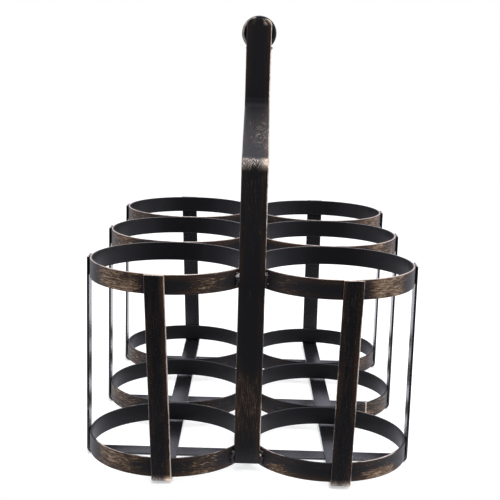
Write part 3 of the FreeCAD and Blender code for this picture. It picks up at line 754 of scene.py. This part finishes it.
bead_off_tube = 0.0008
outside_tube, inside_neck = tube_radius + bead_off_tube, tube_rear - bead_off_tube
straight_down, half_arc, arc_step = -90, 38, 4
arc = [math.radians(straight_down + turn) for turn in range(-half_arc, half_arc + 1, arc_step)]
points = [(outside_tube * math.cos(turn), way * inside_neck, tube_height + outside_tube * math.sin(turn))
          for way in (-1, 1) for turn in arc]
runs = [(start + i, start + i + 1) for start in (0, len(arc)) for i in range(len(arc) - 1)]
under_tube = bpy.data.meshes.new("under_tube")
under_tube.from_pydata(points, runs, [])
make_piece("handle_welds", under_tube, weld_bead, weld_sizes | {"Seed": 11, "Drop radius": 0.0011},
           fuse=melt)


# Stage: a white table top that ends just in front of the caddy, in a white room. A black card behind
# the camera keeps the room's white out of the faces that look forward, as in the photograph.
def shown_white(tree):
    """1 for what the camera, a glossy face or a clear body looks at, and 0 for light that falls."""
    rays = add_node(tree, "ShaderNodeLightPath", {})
    return reckon(tree, "MAXIMUM", rays["Is Camera Ray"], reckon(
        tree, "MAXIMUM", rays["Is Glossy Ray"], rays["Is Transmission Ray"]))


def room_tone(tree):
    """Plain white, with the faint blue of shaded walls where a glossy face mirrors it."""
    plain_white, shaded_white = (1.0, 1.0, 1.0, 1.0), (0.87, 0.86, 1.0, 1.0)
    mirrored = add_node(tree, "ShaderNodeLightPath", {})["Is Glossy Ray"]
    return mix_colour(tree, mirrored, plain_white, shaded_white)


table_radius, table_front, table_drop = 0.8, -0.160, 0.0003
table_mesh = bpy.data.meshes.new("table_top")
shape = bmesh.new()
bmesh.ops.create_circle(shape, cap_ends=True, segments=96, radius=table_radius)
bmesh.ops.translate(shape, verts=shape.verts, vec=(0.0, table_front + table_radius, -table_drop))
shape.to_mesh(table_mesh)
shape.free()
table_top = bpy.data.objects.new("table_top", table_mesh)
bpy.context.scene.collection.objects.link(table_top)
table_glow, table_white = 0.45, (0.84, 0.84, 0.84, 1.0)
white, tree = start_finish("white_table")
lift = add_node(tree, "ShaderNodeEmission", {
    "Color": room_tone(tree), "Strength": reckon(tree, "MULTIPLY", shown_white(tree), table_glow)})[0]
matt = add_node(tree, "ShaderNodeBsdfDiffuse", {"Color": table_white})[0]
both = add_node(tree, "ShaderNodeAddShader", {0: matt, 1: lift})[0]
add_node(tree, "ShaderNodeOutputMaterial", {"Surface": both})
table_mesh.materials.append(white)

card_half_width, card_place, card_bottom, card_top = 1.6, -1.7, -0.9, 0.85
card_corners = [(-card_half_width, card_place, card_bottom), (card_half_width, card_place, card_bottom),
                (card_half_width, card_place, card_top), (-card_half_width, card_place, card_top)]
card_mesh = bpy.data.meshes.new("black_card")
card_mesh.from_pydata(card_corners, [], [(0, 1, 2, 3)])
black_card = bpy.data.objects.new("black_card", card_mesh)
bpy.context.scene.collection.objects.link(black_card)
black_card.visible_camera = False
card_black = bpy.data.materials.new("card_black")
card_black.use_nodes = True
card_shader = card_black.node_tree.nodes["Principled BSDF"].inputs
card_shader["Base Color"].default_value = (0.02, 0.02, 0.02, 1.0)
card_shader["Roughness"].default_value = 0.9
card_mesh.materials.append(card_black)

falling_light, shown_light = 0.40, 1.0
room = bpy.data.worlds.new("white_room")
bpy.context.scene.world = room
room.use_nodes = True
tree = room.node_tree
tree.nodes.clear()
strength = add_node(tree, "ShaderNodeMapRange", {
    "Value": shown_white(tree), "To Min": falling_light, "To Max": shown_light})[0]
walls = add_node(tree, "ShaderNodeBackground", {"Color": room_tone(tree), "Strength": strength})[0]
add_node(tree, "ShaderNodeOutputWorld", {"Surface": walls})

softboxes = {
    "overhead": {"stand": (0.0, 0.10, 1.50), "target": (0.0, 0.05, 0.1), "size": (1.2, 1.2), "watts": 14.0},
    "key": {"stand": (0.30, -1.05, 1.30), "target": (0.0, -0.10, 0.12), "size": (0.8, 0.8), "watts": 11.0},
    "right": {"stand": (1.30, -0.20, 0.50), "target": (0.0, 0.0, 0.12), "size": (0.5, 1.1), "watts": 5.5},
    "left": {"stand": (-1.40, -0.30, 0.60), "target": (0.0, 0.0, 0.12), "size": (0.5, 0.9), "watts": 2.5},
}
lamp_white = (0.95, 0.97, 1.0)
for name, box in softboxes.items():
    light = bpy.data.lights.new(name + "_softbox", "AREA")
    light.shape = "RECTANGLE"
    light.size, light.size_y = box["size"]
    light.energy = box["watts"]
    light.color = lamp_white
    softbox = bpy.data.objects.new(name + "_softbox", light)
    bpy.context.scene.collection.objects.link(softbox)
    aim = (Vector(box["target"]) - Vector(box["stand"])).to_track_quat("-Z", "Y")
    softbox.matrix_world = Matrix.Translation(box["stand"]) @ aim.to_matrix().to_4x4()


# Camera: a long lens, level with the handle and less than a metre in front of the caddy, looking a
# little down on its narrow end and slightly rolled.
camera_stand = Vector((0.00135, -0.7622, 0.26567))
yaw, pitch, roll = (math.radians(angle) for angle in (-0.27, 11.3, 1.62))
forward = Vector((math.sin(yaw) * math.cos(pitch), math.cos(yaw) * math.cos(pitch), -math.sin(pitch)))
sideward = Vector((math.cos(yaw), -math.sin(yaw), 0.0))
upward = sideward.cross(forward)
picture_right = math.cos(roll) * sideward + math.sin(roll) * upward
picture_up = math.cos(roll) * upward - math.sin(roll) * sideward
camera_data = bpy.data.cameras.new("camera")
camera_data.sensor_width = 36.0
camera_data.lens = 78.854
camera_data.clip_start = 0.05
camera = bpy.data.objects.new("camera", camera_data)
camera.matrix_world = Matrix((picture_right, picture_up, -forward)).transposed().to_4x4()
camera.matrix_world.translation = camera_stand
bpy.context.scene.collection.objects.link(camera)
bpy.context.scene.camera = camera
bpy.context.scene.view_settings.view_transform = "Standard"
